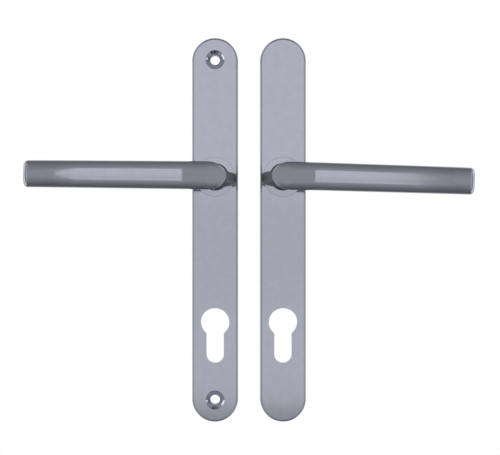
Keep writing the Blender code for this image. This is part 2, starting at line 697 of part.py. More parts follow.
def spring_housing(handle):
    """Nylon cup round the spring, with two screw columns and a window that stops the driver's lug."""
    name = handle["name"]
    cup = turned(
        [
            (BUSH_INNER, HOUSING_FRONT),
            (BUSH_INNER, HOUSING_FLOOR_BACK),
            (HOUSING_INNER, HOUSING_FLOOR_BACK),
            (HOUSING_INNER, DRIVER_BACK),
            (HOUSING_OUTER, DRIVER_BACK),
            (HOUSING_OUTER, HOUSING_FRONT),
        ]
    )
    housing = place(f"{name}_spring_housing", cup, "white_nylon", handle)
    joined, holes = [], []
    for sign in (1, -1):
        z = sign * CASSETTE_SCREW_OFFSET
        web = box(
            (-HOUSING_WEB / 2, HOUSING_WEB / 2),
            (COVER_END_FRONT + 2 * FIT_GAP, HOUSING_FRONT - FIT_GAP),
            sorted((sign * (HOUSING_INNER + FIT_GAP), z)),
        )
        foot = COVER_END_FRONT + FIT_GAP
        column = rod(CASSETTE_BOSS_RADIUS, foot, HOUSING_FRONT, SMALL_CIRCLE_STEPS)
        joined.append(helper(f"{name}_web", web, handle))
        joined.append(helper(f"{name}_column", column, handle, at=(0, z)))
        hole = drill(CASSETTE_SCREW_RADIUS + FIT_GAP, 0, PLATE_DEPTH, SMALL_CIRCLE_STEPS)
        holes.append(helper(f"{name}_column_hole", hole, handle, at=(0, z)))
    combine(housing, "UNION", *joined)
    sweep = TURN_EACH_WAY + DRIVER_LUG_HALF_ANGLE + FIT_GAP / HOUSING_INNER
    reach = (HOUSING_INNER - FIT_GAP, HOUSING_OUTER + FIT_GAP)
    window = prism(sector(*reach, sweep), 0, DRIVER_FRONT + FIT_GAP)
    leg_hole = drill(LEG_HOLE_RADIUS, 0, PLATE_DEPTH, SMALL_CIRCLE_STEPS)
    fixed_leg = leg_place(handle, SPRING_END, 1)
    combine(
        housing,
        "DIFFERENCE",
        helper(f"{name}_window", window, handle),
        helper(f"{name}_leg_hole", leg_hole, handle, at=fixed_leg),
        *holes,
    )
    return housing


def sector(inner, outer, half_angle):
    """A ring sector about straight up."""
    start, end = math.pi / 2 - half_angle, math.pi / 2 + half_angle
    steps = max(3, round(half_angle / math.radians(9)))
    return arc((0, 0), outer, start, end, steps) + arc((0, 0), inner, end, start, steps)


def driver(handle):
    """Keyed to the hub's flats: it winds the spring, and its lug meets the ends of the window."""
    name, pivot = handle["name"], handle["pivot"]
    inner = TAIL_RADIUS + FIT_GAP
    disc_radius = HOUSING_INNER - FIT_GAP
    bm = turned(
        [
            (inner, DRIVER_BACK),
            (disc_radius, DRIVER_BACK),
            (disc_radius, DRIVER_FRONT),
            (DRIVER_SLEEVE_RADIUS, DRIVER_FRONT),
            (DRIVER_SLEEVE_RADIUS, HOUSING_FLOOR_BACK - FIT_GAP),
            (inner, HOUSING_FLOOR_BACK - FIT_GAP),
        ]
    )
    disc = place(f"{name}_driver", bm, "die_cast_zinc", handle, pivot)
    lug = prism(
        sector(SPRING_RADIUS, HOUSING_OUTER, DRIVER_LUG_HALF_ANGLE), DRIVER_BACK, DRIVER_FRONT
    )
    keys = [
        box(
            sorted((sign * (TAIL_FLAT + FIT_GAP), sign * (inner + FIT_GAP))),
            (DRIVER_BACK, DRIVER_FRONT),
            (-DRIVER_KEY_HALF_HEIGHT, DRIVER_KEY_HALF_HEIGHT),
        )
        for sign in (1, -1)
    ]
    combine(
        disc,
        "UNION",
        helper(f"{name}_lug", lug, handle, pivot),
        *[helper(f"{name}_key", key, handle, pivot) for key in keys],
    )
    notch = box(
        (-LEG_HOLE_RADIUS, LEG_HOLE_RADIUS),
        (0, DRIVER_FRONT + FIT_GAP),
        (SPRING_RADIUS - LEG_HOLE_RADIUS, HOUSING_OUTER),
    )
    across, up = leg_place(handle, SPRING_START, -1)
    bmesh.ops.rotate(
        notch,
        matrix=Matrix.Rotation(math.atan2(across, up), 3, "Y"),
        verts=notch.verts,
    )
    combine(disc, "DIFFERENCE", helper(f"{name}_notch", notch, handle, pivot))
    return disc


def coil_place(handle, angle):
    """The middle of the spring's wire at an angle, as (across, up). The two springs are mirror images."""
    return handle["side"] * SPRING_RADIUS * math.cos(angle), SPRING_RADIUS * math.sin(angle)


def leg_place(handle, angle, heading):
    """Where the leg stands that leaves the coil at this angle, heading on (1) or back (-1) round it."""
    across, up = coil_place(handle, angle)
    onward = Vector((-handle["side"] * math.sin(angle), math.cos(angle)))
    return tuple(Vector((across, up)) + heading * SPRING_LEG_BEND * onward)


def return_spring(handle):
    """Torsion spring: its back leg goes into the driver's notch and its front leg into the housing."""
    start = SPRING_START - handle["side"] * handle["rest"]
    steps = round(SPRING_TURNS * SPRING_STEPS_PER_TURN)
    points = []
    for i in range(steps + 1):
        x, z = coil_place(handle, blend(start, SPRING_END, i / steps))
        points.append(Vector((x, -blend(SPRING_BACK, SPRING_FRONT, i / steps), z)))
    back_leg = bent_leg(points[0], points[0] - points[1], DRIVER_BACK)
    front_leg = bent_leg(points[-1], points[-1] - points[-2], HOUSING_FRONT)
    curve = bpy.data.curves.new(f"{handle['name']}_return_spring", "CURVE")
    curve.dimensions = "3D"
    curve.bevel_depth = SPRING_WIRE_RADIUS
    curve.bevel_resolution = 1
    curve.use_fill_caps = True
    path = back_leg[::-1] + points + front_leg
    spline = curve.splines.new("POLY")
    spline.points.add(len(path) - 1)
    for point, co in zip(spline.points, path):
        point.co = (*co, 1)
    curve.materials.append(finish("spring_steel"))
    obj = bpy.data.objects.new(curve.name, curve)
    bpy.context.scene.collection.objects.link(obj)
    obj.location = (handle["x"], 0, 0)
    return obj


def bent_leg(start, heading, end_out):
    """Carries the wire on, round a quarter bend, to lie along the spindle direction."""
    flat = Vector((heading.x, 0, heading.z)).normalized()
    turn = Vector((0, math.copysign(1, -end_out - start.y), 0))
    radius = SPRING_LEG_BEND
    leg = [
        start + flat * radius * math.sin(a) + turn * radius * (1 - math.cos(a))
        for a in (math.pi / 8 * i for i in range(1, 5))
    ]
    end = leg[-1].copy()
    end.y = -end_out
    if abs(end.y - start.y) > radius:
        leg.append(end)
    return leg


def cassette_cover(handle):
    """Pressed steel plate that closes the cassette. The retaining clip bears on its back."""
    name = handle["name"]
    end = CASSETTE_SCREW_OFFSET + COVER_MARGIN
    step_near = HOUSING_OUTER + COVER_THICKNESS
    step_far = step_near + COVER_STEP
    half_profile = [
        (step_near, COVER_RECESS),
        (step_far, COVER_END_BACK),
        (end, COVER_END_BACK),
        (end, COVER_END_FRONT),
        (step_far - COVER_THICKNESS / 2, COVER_END_FRONT),
        (step_near - COVER_THICKNESS / 2, COVER_FRONT),
    ]
    profile = half_profile + [(-z, out) for z, out in reversed(half_profile)]
    sides = (-COVER_HALF_WIDTH, COVER_HALF_WIDTH)
    bm = loft([[(x, -out, z) for z, out in profile] for x in sides])
    cover = place(f"{name}_cassette_cover", bm, "zinc_plated_steel", handle)
    tail_hole = drill(TAIL_RADIUS + FIT_GAP, -PLATE_DEPTH, PLATE_DEPTH)
    holes = [helper(f"{name}_tail_hole", tail_hole, handle)]
    radius = CASSETTE_SCREW_RADIUS + FIT_GAP
    for z in (CASSETTE_SCREW_OFFSET, -CASSETTE_SCREW_OFFSET):
        hole = drill(radius, -PLATE_DEPTH, PLATE_DEPTH, SMALL_CIRCLE_STEPS)
        holes.append(helper(f"{name}_cover_hole", hole, handle, at=(0, z)))
    combine(cover, "DIFFERENCE", *holes)
    return cover


def cassette_screw(handle, where, z):
    """Pan-head screw with a cross slot, from the back through cover and housing into the plate."""
    head_front = COVER_END_BACK - FIT_GAP
    head_back = head_front - CASSETTE_SCREW_HEAD
    bm = turned(
        [
            (0, head_back),
            (CASSETTE_SCREW_HEAD_RADIUS - CASSETTE_SCREW_CROWN, head_back),
            (CASSETTE_SCREW_HEAD_RADIUS, head_back + CASSETTE_SCREW_CROWN),
            (CASSETTE_SCREW_HEAD_RADIUS, head_front),
            (CASSETTE_SCREW_RADIUS, head_front),
            (CASSETTE_SCREW_RADIUS, PLATE_DEPTH - CASSETTE_SCREW_END - 2 * FIT_GAP),
            (0, PLATE_DEPTH - CASSETTE_SCREW_END - FIT_GAP),
        ],
        SMALL_CIRCLE_STEPS,
    )
    name = f"{handle['name']}_cassette_screw_{where}"
    screw = place(name, bm, "zinc_plated_steel", handle, at=(0, z))
    arm = (-CROSS_SLOT_REACH, CROSS_SLOT_REACH)
    width = (-CROSS_SLOT_HALF_WIDTH, CROSS_SLOT_HALF_WIDTH)
    depth = (head_back - CASSETTE_SCREW_HEAD, head_back + CASSETTE_SCREW_HEAD / 2)
    cross = [box(arm, depth, width), box(width, depth, arm)]
    combine(
        screw,
        "DIFFERENCE",
        *[helper(f"{name}_slot", slot, handle, at=(0, z)) for slot in cross],
    )
    return screw


def retaining_clip(handle):
    """Open ring in the hub's groove that keeps the lever in the plate. Its gap is at the bottom."""
    outer = CLIP_INNER + CLIP_WIDTH
    start = -math.pi / 2 + CLIP_GAP_HALF_ANGLE
    end = 1.5 * math.pi - CLIP_GAP_HALF_ANGLE
    outline = arc((0, 0), outer, start, end, CIRCLE_STEPS) + arc(
        (0, 0), CLIP_INNER, end, start, CIRCLE_STEPS
    )
    bm = prism(outline, CLIP_BACK, CLIP_FRONT)
    name = f"{handle['name']}_retaining_clip"
    return place(name, bm, "spring_steel", handle, handle["pivot"])


# ---------------------------------------------------------------- assembly


def make_handle(name, side, rest_angle):
    """The frame of one handle, with the empty that its lever turns about."""
    handle = {"name": name, "side": side, "x": side * HANDLE_SPACING / 2, "rest": rest_angle}
    pivot = bpy.data.objects.new(f"{name}_lever_axis", None)
    bpy.context.scene.collection.objects.link(pivot)
    pivot.location = (handle["x"], 0, 0)
    pivot.rotation_euler = Euler((0, rest_angle, 0))
    handle["pivot"] = pivot
    return handle


def fit_handle(handle):
    """The pieces that both handles have."""
    bearing_bush(handle)
    spring_housing(handle)
    driver(handle)
    return_spring(handle)
    cassette_cover(handle)
    cassette_screw(handle, "upper", CASSETTE_SCREW_OFFSET)
    cassette_screw(handle, "lower", -CASSETTE_SCREW_OFFSET)
    retaining_clip(handle)
    return lever(handle)


def main():
    clear_scene()
    inside = make_handle("inside", -1, INSIDE_REST_ANGLE)
    inside_plate(inside)
    grub_screw(inside, fit_handle(inside))
    outside = make_handle("outside", 1, OUTSIDE_REST_ANGLE)
    outside_plate(outside)
    fit_handle(outside)
    spindle(outside)


main()
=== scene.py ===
import math

import bmesh
import bpy
from mathutils import Matrix, Vector


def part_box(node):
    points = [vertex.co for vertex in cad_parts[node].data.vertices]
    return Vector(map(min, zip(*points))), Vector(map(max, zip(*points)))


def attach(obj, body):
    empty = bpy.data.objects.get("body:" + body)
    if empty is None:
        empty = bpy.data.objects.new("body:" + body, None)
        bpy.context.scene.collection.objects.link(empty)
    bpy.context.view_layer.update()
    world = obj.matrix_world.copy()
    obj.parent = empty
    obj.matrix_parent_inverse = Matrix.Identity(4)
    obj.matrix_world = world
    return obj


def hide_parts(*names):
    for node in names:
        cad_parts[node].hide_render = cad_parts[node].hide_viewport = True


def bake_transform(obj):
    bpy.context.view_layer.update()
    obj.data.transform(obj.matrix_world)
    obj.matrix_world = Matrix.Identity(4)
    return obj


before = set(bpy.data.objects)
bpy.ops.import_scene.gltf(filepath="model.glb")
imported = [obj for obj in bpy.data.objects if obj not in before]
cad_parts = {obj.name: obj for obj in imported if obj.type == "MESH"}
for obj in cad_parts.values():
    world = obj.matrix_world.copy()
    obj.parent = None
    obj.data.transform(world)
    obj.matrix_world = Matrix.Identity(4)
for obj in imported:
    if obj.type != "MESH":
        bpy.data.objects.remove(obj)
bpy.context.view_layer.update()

# The two handles are modelled in millimetres about their spindle axis: x towards the
# lever's tip, -y out of the door, z up. on_handle() puts a piece in its real place.
MM = 0.001
SIDES = {"inside": -1, "outside": 1}
REST = {"inside": math.radians(0.55), "outside": math.radians(1.75)}
QUARTER = math.pi / 2

# Backplate
PLATE_HALF_WIDTH = 14.7
PLATE_TOP = 73.3  # middle of the round end
PLATE_BOTTOM = -140.3
PLATE_DEPTH = 11.0
PLATE_DRAFT = 0.3
PLATE_EDGE = 1.3
WALL = 1.9
FACE_BACK = 9.0
CAVITY_HALF_WIDTH = 12.5
RIB = 1.4
RIB_BACK = 1.0
RIB_HEIGHTS = (53.6, 39.2, -38.96, -53.13, -67.29)
COLLAR_RADIUS = 12.5
COLLAR_RIM = 12.0
COLLAR_EDGE = 0.18
COLLAR_TOP = 12.2
COLLAR_HOLE = 8.25
BUSH_SEAT = 9.6
FIXING_HEIGHTS = (74.0, -141.0)
FIXING_HOLE = 3.1
SINK_RADIUS, SINK_BACK = 6.0, 8.3
FIXING_BOSS = 6.0
LUG_RADIUS, LUG_BACK = 5.0, -9.0  # the outside plate's tapped lugs stand behind its rim
LUG_THREAD = 2.1
CASSETTE_HEIGHTS = (20.0, -20.0)
CASSETTE_BOSS = 3.2
SCREW_HOLE = 1.6

# Euro profile opening
OPENING_CENTRE = -92.0
OPENING_RADIUS = 9.05
OPENING_HALF_WIDTH = 5.55
OPENING_DROP = 26.0
OPENING_WALL = 1.5

# Lever
REACH = 117.2
NOSE = -7.5
NOSE_LENGTH = 12.0
PROJECTION = 50.2
HALF_HEIGHT = 8.75
TIP_HALF_HEIGHT = 8.35
TIP_RADIUS = 3.0
THICKNESS = 10.0
NOSE_THICKNESS = 6.0
KNEE, KNEE_SLOPE, KNEE_BLEND = 20.4, math.tan(math.radians(9.5)), 1.8
KNEE_REACH = 3.5  # closer sections to either side of the knee
FALL, FALL_SLOPE, FALL_BLEND = 101.5, math.tan(math.radians(8.0)), 1.5
ROUNDS_FROM, ROUNDS_TO = 84.0, 98.0  # the face gets rounder towards the tip
CROWN_DEPTH, NOSE_CROWN_DEPTH = 5.5, 2.2
# How square each section is: 2 is an ellipse
NOSE_SQUARE, BAR_SQUARE, TIP_SQUARE, BACK_SQUARE = 4.5, 3.0, 2.3, 2.6
FOOT_SQUARE, NECK_SQUARE = 2.0, 3.8
GRIP_STEPS, NECK_STEPS = 96, 64
NOSE_SECTIONS, NECK_SECTIONS = 18, 6
NECK_FOOT = 12.5
# Across, out, up, half width in the plane of the bend, half height
NECK = (
    (0.0, NECK_FOOT, 0.0, 8.7, 8.7),
    (-0.2, 16.0, -0.3, 8.0, 7.4),
    (-1.2, 20.0, -0.9, 7.6, 6.2),
    (-3.2, 25.0, -1.5, 8.2, 5.1),
    (-5.2, 30.0, -1.8, 8.6, 4.4),
    (-5.6, 34.5, -1.8, 8.3, 4.2),
    (-4.2, 38.0, -1.6, 7.3, 4.2),
    (-0.8, 40.6, -1.2, 6.0, 4.3),
    (4.5, 42.2, -0.7, 4.9, 4.8),
    (11.0, 43.2, -0.3, 4.2, 5.4),
    (20.0, 44.0, 0.0, 3.4, 5.6),
)
HUB_RADIUS, TAIL_RADIUS, CLIP_GROOVE = 7.8, 7.4, 6.7
TAIL_FLAT = 6.5
SPINDLE_HALF, SOCKET_HALF = 4.0, 4.1
GRUB_OUT = 15.4  # the grub screw's axis, from the door

# Bearing and cassette
WIRE_RADIUS, COIL_RADIUS, COIL_TURNS = 0.45, 9.9, 2.25
LUG_HALF_ANGLE, WINDOW_HALF_ANGLE = math.radians(12), math.radians(58.6)

# Studio
LENS = 136.8
EYE = (0.0006, -1.211, -0.032)
FLOOR_HEIGHT = -0.275
SOFTBOX = {"left": -0.262, "right": 0.245, "bottom": -0.272, "top": 0.36, "out": 1.35}
CARD_ASIDE = 0.24


# ---------------------------------------------------------------- modelling tools


def newest(geom, kind):
    return [part for part in geom if isinstance(part, kind)]


def swing(bm, vert, centre, angle, steps):
    """Draws an arc on from a point, turning left seen from the front, and gives its end."""
    got = bmesh.ops.spin(
        bm,
        geom=[vert],
        cent=(centre[0], vert.co.y, centre[1]),
        axis=(0, -1, 0),
        angle=angle,
        steps=steps,
    )
    return newest(got["geom_last"], bmesh.types.BMVert)[0]


def run_to(bm, vert, x, z):
    """Draws a straight line on from a point, and gives its end."""
    end = bmesh.ops.extrude_vert_indiv(bm, verts=[vert])["verts"][0]
    end.co = (x, vert.co.y, z)
    return end


def closed_face(bm, first, last):
    bm.edges.new((last, first))
    bmesh.ops.contextual_create(bm, geom=bm.edges[:])
    return bm


def long_face(half_width, out, steps=48):
    """The backplate's outline: straight sides and half-round ends."""
    bm = bmesh.new()
    first = bm.verts.new((half_width, -out, PLATE_TOP))
    last = swing(bm, first, (0, PLATE_TOP), math.pi, steps)
    last = run_to(bm, last, -half_width, PLATE_BOTTOM)
    last = swing(bm, last, (0, PLATE_BOTTOM), math.pi, steps)
    return closed_face(bm, first, last)


def euro_face(grow, out, steps=64):
    """The euro profile's outline: a circle that runs into a round-footed slot."""
    bm = bmesh.new()
    radius, half = OPENING_RADIUS + grow, OPENING_HALF_WIDTH + grow
    drop = math.sqrt(radius**2 - half**2)
    first = bm.verts.new((half, -out, OPENING_CENTRE - drop))
    turn = math.tau - 2 * math.asin(half / radius)
    last = swing(bm, first, (0, OPENING_CENTRE), turn, steps)
    foot = OPENING_CENTRE - OPENING_DROP + OPENING_HALF_WIDTH
    last = run_to(bm, last, -half, foot)
    last = swing(bm, last, (0, foot), math.pi, steps // 2)
    return closed_face(bm, first, last)


def pulled(bm, out, faces=None):
    """Extrudes faces until they stand this far out, and gives the new ones."""
    got = bmesh.ops.extrude_face_region(bm, geom=faces or bm.faces[:])["geom"]
    for vert in newest(got, bmesh.types.BMVert):
        vert.co.y = -out
    return newest(got, bmesh.types.BMFace)


def block(x, out, z):
    """A block between pairs of limits."""
    bm = bmesh.new()
    bmesh.ops.create_cube(bm, size=1)
    size = Vector((x[1] - x[0], out[1] - out[0], z[1] - z[0]))
    bmesh.ops.scale(bm, vec=size, verts=bm.verts)
    centre = Vector((x[1] + x[0], -out[1] - out[0], z[1] + z[0])) / 2
    bmesh.ops.translate(bm, vec=centre, verts=bm.verts)
    return bm


def turned(profile, at=(0, 0), steps=96):
    """Spins (radius, out) points about an axis that stands out of the door."""
    bm = bmesh.new()
    verts = [bm.verts.new((radius, -out, 0)) for radius, out in profile]
    for pair in zip(verts, verts[1:]):
        bm.edges.new(pair)
    if min(radius for radius, _ in profile) > 0:
        bm.edges.new((verts[-1], verts[0]))
    bmesh.ops.spin(
        bm,
        geom=bm.verts[:] + bm.edges[:],
        cent=(0, 0, 0),
        axis=(0, 1, 0),
        angle=math.tau,
        steps=steps,
        use_merge=True,
    )
    bmesh.ops.translate(bm, vec=(at[0], 0, at[1]), verts=bm.verts)
    return bm


def swept(stations, steps, place):
    """Extrudes a ring on from station to station. place(station, k) says where its point k goes."""
    bm = bmesh.new()
    number = bm.verts.layers.int.new("number")
    ring = bmesh.ops.create_circle(bm, segments=steps, radius=1)["verts"]
    for k, vert in enumerate(ring):
        vert[number] = k
        vert.co = place(stations[0], k)
    edges = bm.edges[:]
    bmesh.ops.contextual_create(bm, geom=edges)
    for station in stations[1:]:
        got = bmesh.ops.extrude_edge_only(bm, edges=edges)["geom"]
        ring = set(newest(got, bmesh.types.BMVert))
        edges = [e for e in newest(got, bmesh.types.BMEdge) if ring.issuperset(e.verts)]
        for vert in ring:
            vert.co = place(station, vert[number])
    bmesh.ops.contextual_create(bm, geom=edges)
    return bm


def middle(edge):
    return (edge.verts[0].co + edge.verts[1].co) / 2


def tidy(bm):
    bmesh.ops.remove_doubles(bm, verts=bm.verts, dist=1e-4)
    bmesh.ops.recalc_face_normals(bm, faces=bm.faces)
    return bm


def eased(bm, width, segments=3, where=lambda co: True, least=35):
    """Rounds the sharp outer edges whose middle where() picks."""
    tidy(bm)
    least = math.radians(least)
    edges = [
        e
        for e in bm.edges
        if e.is_manifold and e.calc_face_angle_signed(0) > least and where(middle(e))
    ]
    bmesh.ops.bevel(
        bm,
        geom=edges,
        offset=width,
        offset_type="OFFSET",
        segments=segments,
        profile=0.5,
        affect="EDGES",
        material=-1,
        clamp_overlap=True,
    )
    return bm


def rough_object(bm, name="work"):
    """An object for Booleans. Two empty slots carry its faces' material numbers through them."""
    mesh = bpy.data.meshes.new(name)
    tidy(bm).to_mesh(mesh)
    bm.free()
    for _ in range(2):
        mesh.materials.append(None)
    obj = bpy.data.objects.new(name, mesh)
    bpy.context.scene.collection.objects.link(obj)
    return obj


def combined(bm, joined=(), cut=()):
    """The bmesh with others joined to it and others cut from it."""
    work = rough_object(bm)
    tools = []
    for operation, group in (("UNION", joined), ("DIFFERENCE", cut)):
        for other in group:
            tools.append(rough_object(other, "tool"))
            boolean = work.modifiers.new("shape", "BOOLEAN")
            boolean.operation = operation
            boolean.solver = "EXACT"
            boolean.object = tools[-1]
    evaluated = work.evaluated_get(bpy.context.evaluated_depsgraph_get())
    result = bmesh.new()
    result.from_mesh(evaluated.data)
    for obj in (work, *tools):
        bpy.data.meshes.remove(obj.data)
    return result


def on_handle(name, handle, bm, finish, turns=False, rides=True):
    """Puts a modelled piece on its handle, as the CAD node of its name. A finish is a
    material, or one for each material number of its faces."""
    node = f"{handle}_{name}"
    low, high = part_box(f"{handle}_backplate")
    place = Matrix.Translation(((low.x + high.x) / 2, 0, 0))
    if turns:
        place @= Matrix.Rotation(REST[handle], 4, "Y")
    place @= Matrix.Diagonal((SIDES[handle] * MM, MM, MM, 1))
    bmesh.ops.remove_doubles(bm, verts=bm.verts, dist=1e-4)
    bmesh.ops.transform(bm, matrix=place, verts=bm.verts)
    bmesh.ops.recalc_face_normals(bm, faces=bm.faces)
    mesh = bpy.data.meshes.new(f"{node}_shape")
    bm.to_mesh(mesh)
    bm.free()
    for material in finish if isinstance(finish, tuple) else (finish,):
        mesh.materials.append(material)
    mesh.shade_smooth()
    mesh.set_sharp_from_angle(angle=math.radians(32))
    piece = bpy.data.objects.new(f"{node}_shape", mesh)
    bpy.context.scene.collection.objects.link(piece)
    weighted = piece.modifiers.new("flat faces stay flat", "WEIGHTED_NORMAL")
    weighted.keep_sharp = True
    if rides:
        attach(piece, f"{handle}_lever" if turns else "plates")
    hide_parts(node)
    return piece


# ---------------------------------------------------------------- finishes


def linear(colour):
    """An sRGB hex colour as linear RGBA."""
    parts = [int(colour[i : i + 2], 16) / 255 for i in (1, 3, 5)]
    return (*[c / 12.92 if c <= 0.04045 else ((c + 0.055) / 1.055) ** 2.4 for c in parts], 1)


def add(tree, kind, sockets, **settings):
    """Adds a node: its settings, and for each socket a value or another node's output."""
    node = tree.nodes.new(kind)
    for name, value in settings.items():
        setattr(node, name, value)
    for socket, value in sockets.items():
        if isinstance(value, bpy.types.NodeSocket):
            tree.links.new(value, node.inputs[socket])
        else:
            node.inputs[socket].default_value = value
    return node


def blank(name):
    """A material with only its output, and its tree."""
    material = bpy.data.materials.new(name)
    material.use_nodes = True
    tree = material.node_tree
    tree.nodes.clear()
    return material, tree


def noise(tree, size, stretch=(1, 1, 1), detail=2.0, roughness=0.5):
    """Noise on object coordinates with features of this size in millimetres."""
    coordinates = add(tree, "ShaderNodeTexCoord", {})
    mapping = add(
        tree, "ShaderNodeMapping", {"Vector": coordinates.outputs["Object"], "Scale": stretch}
    )
    return add(
        tree,
        "ShaderNodeTexNoise",
        {
            "Vector": mapping.outputs["Vector"],
            "Scale": 1 / (size * MM),
            "Detail": detail,
            "Roughness": roughness,
        },
    ).outputs["Fac"]


def ranged(tree, value, low, high, start=0.3, end=0.7):
    """Takes the middle of a noise's range to low..high."""
    return add(
        tree,
        "ShaderNodeMapRange",
        {"Value": value, "From Min": start, "From Max": end, "To Min": low, "To Max": high},
    ).outputs["Result"]


def bumped(tree, height, distance, strength=1.0, under=None):
    sockets = {"Height": height, "Distance": distance * MM, "Strength": strength}
    if under is not None:
        sockets["Normal"] = under
    return add(tree, "ShaderNodeBump", sockets).outputs["Normal"]


def surface(tree, colour, roughness, normal, **uniform):
    """The Principled shader of a finish. Keyword values are set on its own sockets."""
    sockets = {"Base Color": colour, "Roughness": roughness, "Normal": normal}
    sockets.update({name.replace("_", " "): value for name, value in uniform.items()})
    shader = add(tree, "ShaderNodeBsdfPrincipled", sockets)
    add(tree, "ShaderNodeOutputMaterial", {"Surface": shader.outputs["BSDF"]})


def mixed_colour(tree, share, dark, light):
    colours = {0: share, 6: linear(dark), 7: linear(light)}
    return add(tree, "ShaderNodeMix", colours, data_type="RGBA").outputs[2]


def polished_chrome():
    """Die-cast zinc, buffed and bright plated: cool grey reflections, a slight waviness from
    the casting that the buffing follows, and hairline buffing marks along the length."""
    material, tree = blank("bright plated zinc casting, buffed")
    waves = noise(tree, 9.0, detail=1.0)
    marks = noise(tree, 0.9, stretch=(1, 1, 0.08), detail=3.0)
    cloud = noise(tree, 5.0, detail=3.0, roughness=0.6)
    colour = mixed_colour(tree, ranged(tree, cloud, 0, 1), "#AAADB9", "#AEB1BD")
    roughness = ranged(tree, marks, 0.06, 0.10)
    normal = bumped(tree, waves, 0.006)
    normal = bumped(tree, marks, 0.0006, under=normal)
    surface(tree, colour, roughness, normal, Metallic=1.0)
    return material


def cast_back():
    """The same plating over the unbuffed casting inside the backplate: duller and grainy,
    with flow marks of the poured metal."""
    material, tree = blank("plated zinc, as cast")
    grain = noise(tree, 0.5, detail=3.0)
    flow = noise(tree, 7.0, stretch=(1, 1, 0.35), detail=4.0, roughness=0.6)
    colour = mixed_colour(tree, ranged(tree, flow, 0, 1), "#8D9099", "#A9ABB4")
    roughness = ranged(tree, flow, 0.30, 0.46)
    normal = bumped(tree, flow, 0.08)
    normal = bumped(tree, grain, 0.03, under=normal)
    surface(tree, colour, roughness, normal, Metallic=1.0)
    return material


def painted_shade_neck_chrome():
    """The plating of the neck: satin, with the grain of the casting. Its colour is painted
    shade: darker than the chrome, standing in for the shade and dark reflections in the crook."""
    material, tree = blank("bright plated zinc, painted darker for shade in the neck")
    cloud = noise(tree, 3.0, detail=3.0)
    grain = noise(tree, 0.5, detail=2.0)
    # painted shade: these greys are darker than the chrome's so the neck looks shaded
    colour = mixed_colour(tree, ranged(tree, cloud, 0, 1), "#7B7C85", "#83858E")
    roughness = ranged(tree, grain, 0.5, 0.58)
    surface(tree, colour, roughness, bumped(tree, grain, 0.01), Metallic=1.0)
    return material


def bare_casting():
    """Die-cast zinc as it leaves the tumbler: mid grey, satin, with fine pits."""
    material, tree = blank("bare zinc casting, tumbled")
    cloud = noise(tree, 2.5, detail=3.0)
    grain = noise(tree, 0.35, detail=2.0)
    colour = mixed_colour(tree, ranged(tree, cloud, 0, 1), "#83868A", "#9B9EA1")
    roughness = ranged(tree, grain, 0.38, 0.55)
    surface(tree, colour, roughness, bumped(tree, grain, 0.03), Metallic=1.0)
    return material


def zinc_plate():
    """Steel, zinc plated and clear passivated: pale blue-grey with a faint straw and violet
    bloom, over rolling lines that run along the strip."""
    material, tree = blank("zinc plated steel, clear passivated")
    bloom = noise(tree, 6.0, detail=3.0, roughness=0.6)
    lines = noise(tree, 0.4, stretch=(1, 1, 0.05), detail=3.0)
    colour = mixed_colour(tree, ranged(tree, bloom, 0, 1), "#B9BCC2", "#C6C1B2")
    roughness = ranged(tree, lines, 0.24, 0.40)
    surface(tree, colour, roughness, bumped(tree, lines, 0.004), Metallic=1.0)
    return material


def spring_wire():
    """Hardened and oiled spring steel: dark brown-grey with drawn lines and an oily gloss."""
    material, tree = blank("spring steel, oil tempered")
    cloud = noise(tree, 1.6, detail=3.0)
    lines = noise(tree, 0.3, detail=2.0)
    colour = mixed_colour(tree, ranged(tree, cloud, 0, 1), "#4C4A4A", "#6A6765")
    roughness = ranged(tree, lines, 0.26, 0.42)
    surface(tree, colour, roughness, bumped(tree, lines, 0.006), Metallic=1.0)
    return material


def machined_steel():
    """Bright machined alloy steel: turning rings and a neutral shine."""
    material, tree = blank("machined steel")
    cloud = noise(tree, 1.2, detail=3.0)
    rings = noise(tree, 0.25, stretch=(0.1, 0.1, 1), detail=2.0)
    colour = mixed_colour(tree, ranged(tree, cloud, 0, 1), "#A9A7A2", "#BAB8B3")
    roughness = ranged(tree, rings, 0.20, 0.34)
    surface(tree, colour, roughness, bumped(tree, rings, 0.005), Metallic=1.0)
    return material


def moulded_nylon(name, dark, light):
    """Injection moulded nylon 6: satin, with the mould's fine spark grain and slow sheen
    changes where it filled."""
    material, tree = blank(name)
    grain = noise(tree, 0.35, detail=2.0)
    filling = noise(tree, 6.0, detail=3.0)
    colour = mixed_colour(tree, ranged(tree, filling, 0, 1), dark, light)
    roughness = ranged(tree, filling, 0.42, 0.55)
    surface(tree, colour, roughness, bumped(tree, grain, 0.012), IOR=1.53)
    return material


# ---------------------------------------------------------------- backplates


def from_spine(co):
    """From the line between the middles of the plate's round ends to a point."""
    return Vector((co.x, 0, co.z - min(max(co.z, PLATE_BOTTOM), PLATE_TOP)))


def tray():
    """The hollow plate: drafted sides, rounded front edge, cavity open to the door."""
    bm = long_face(PLATE_HALF_WIDTH, 0)
    front = pulled(bm, PLATE_DEPTH)
    bmesh.ops.recalc_face_normals(bm, faces=bm.faces)
    for vert in front[0].verts:
        vert.co -= PLATE_DRAFT * from_spine(vert.co).normalized()
    bmesh.ops.bevel(
        bm,
        geom=front[0].edges[:],
        offset=PLATE_EDGE,
        offset_type="OFFSET",
        segments=10,
        profile=0.5,
        affect="EDGES",
        material=-1,
    )
    cavity = long_face(CAVITY_HALF_WIDTH, FACE_BACK)
    mouth = pulled(cavity, -1)
    for vert in mouth[0].verts:
        vert.co += PLATE_DRAFT * from_spine(vert.co).normalized()
    eased(cavity, 0.7, 4, where=lambda co: co.y < -FACE_BACK / 2)
    return combined(bm, cut=[cavity])


def ribs():
    reach = CAVITY_HALF_WIDTH + WALL / 2
    for z in RIB_HEIGHTS:
        yield block((-reach, reach), (RIB_BACK, FACE_BACK + 1), (z - RIB / 2, z + RIB / 2))


